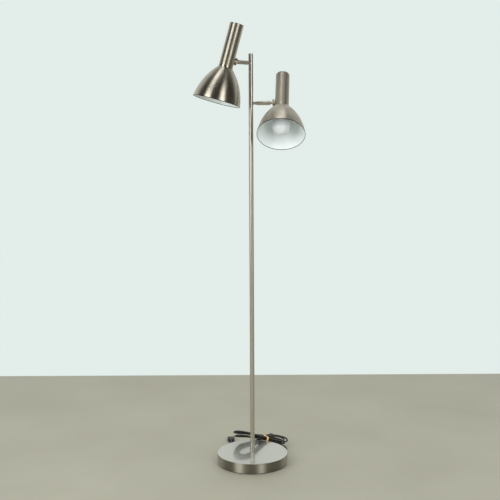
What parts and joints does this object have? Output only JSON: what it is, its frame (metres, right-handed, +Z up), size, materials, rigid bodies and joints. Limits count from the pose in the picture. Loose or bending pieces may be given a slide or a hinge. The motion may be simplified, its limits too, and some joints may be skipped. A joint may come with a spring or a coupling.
{
  "type": "twin-head spot floor lamp",
  "caption": "Floor lamp with a round weighted base, thin pole, short arms and adjustable bell-shaded spot heads on ball joints, corded with a tied hank and plug.",
  "frame": {"origin": "centre of the underside of the pad under the base", "axes": "+Z up the pole; -Y towards the pictured front, +X to its right"},
  "size_m": [0.3707, 0.4344, 1.5292],
  "materials": {
    "steel": "satin",
    "polished_steel": "gloss",
    "shade_metal": "satin",
    "iron": "rough",
    "zinc": "plain",
    "brass": "satin",
    "pad": "matt",
    "rubber": "matt",
    "cord": "satin",
    "nylon": "satin",
    "phenolic": "satin",
    "switch_plastic": "satin",
    "opal_glass": "opal",
    "cap_metal": "plain",
    "tie": "matt"
  },
  "bodies": {
    "stand": {"base_pad": "pad", "base_cover": "polished_steel", "base_ballast": "iron", "cover_spacer": "zinc", "pole_foot_bush": "zinc", "foot_washer": "zinc", "foot_nut": "zinc", "cord_gland": "rubber", "base_cable": "cord", "pole_cable": "cord", "cable_clamp": "nylon", "cable_clamp_screws": "zinc", "pole": "polished_steel", "pole_cap": "polished_steel", "arm_nipples": "brass", "cord_from_base": "cord", "cord_hank": "cord", "cord_tie": "tie", "cord_to_plug": "cord", "plug_body": "rubber", "plug_pins": "brass", "left_arm_neck": "polished_steel", "left_arm_rod": "polished_steel", "left_ball": "polished_steel", "right_arm_neck": "polished_steel", "right_arm_rod": "polished_steel", "right_ball": "polished_steel"},
    "left_liner": {"left_ball_liner": "nylon"},
    "left_cup": {"left_ball_cup": "nylon"},
    "left_button": {"left_switch_button": "switch_plastic"},
    "left_head": {"left_socket": "polished_steel", "left_socket_nut": "zinc", "left_housing": "steel", "left_housing_cap": "steel", "left_switch_body": "phenolic", "left_shade": "shade_metal", "left_shade_ring": "phenolic", "left_lampholder": "phenolic", "left_lampholder_back": "phenolic", "left_holder_strap": "zinc", "left_head_lead": "cord", "left_bulb_glass": "opal_glass", "left_bulb_cap": "cap_metal"},
    "right_liner": {"right_ball_liner": "nylon"},
    "right_cup": {"right_ball_cup": "nylon"},
    "right_button": {"right_switch_button": "switch_plastic"},
    "right_head": {"right_socket": "polished_steel", "right_socket_nut": "zinc", "right_housing": "steel", "right_housing_cap": "steel", "right_switch_body": "phenolic", "right_shade": "shade_metal", "right_shade_ring": "phenolic", "right_lampholder": "phenolic", "right_lampholder_back": "phenolic", "right_holder_strap": "zinc", "right_head_lead": "cord", "right_bulb_glass": "opal_glass", "right_bulb_cap": "cap_metal"}
  },
  "joints": [
    {"name": "left_ball_yaw", "type": "hinge", "parent": "stand", "child": "left_liner", "pos_m": [-0.04885, -0.05822, 1.401], "axis": [0, 0, 1], "range_deg": [-4, 16]},
    {"name": "left_ball_nod", "type": "hinge", "parent": "left_liner", "child": "left_cup", "pos_m": [-0.04885, -0.05822, 1.401], "axis": [-0.4099, 0.9121, 0], "range_deg": [-14, 3]},
    {"name": "left_head_turn", "type": "hinge", "parent": "left_cup", "child": "left_head", "pos_m": [-0.04885, -0.05822, 1.401], "axis": [-0.8794, -0.3952, 0.2656], "range_deg": [-60, 3]},
    {"name": "left_switch_press", "type": "slide", "parent": "left_head", "child": "left_button", "axis": [-0.2647, -0.0578, -0.9626], "range_m": [0, 0.0025], "stiffness_N_per_m": 900, "springref_m": -0.0011},
    {"name": "right_ball_yaw", "type": "hinge", "parent": "stand", "child": "right_liner", "pos_m": [0.07484, -0.0132, 1.267], "axis": [0, 0, 1], "range_deg": [-6, 26]},
    {"name": "right_ball_nod", "type": "hinge", "parent": "right_liner", "child": "right_cup", "pos_m": [0.07484, -0.0132, 1.267], "axis": [-0.2181, -0.9759, 0], "range_deg": [-9, 11]},
    {"name": "right_head_turn", "type": "hinge", "parent": "right_cup", "child": "right_head", "pos_m": [0.07484, -0.0132, 1.267], "axis": [0.968, -0.2164, 0.1271], "range_deg": [-26, 60]},
    {"name": "right_switch_press", "type": "slide", "parent": "right_head", "child": "right_button", "axis": [-0.0444, -0.646, -0.7621], "range_m": [0, 0.0025], "stiffness_N_per_m": 900, "springref_m": -0.0011}
  ]
}
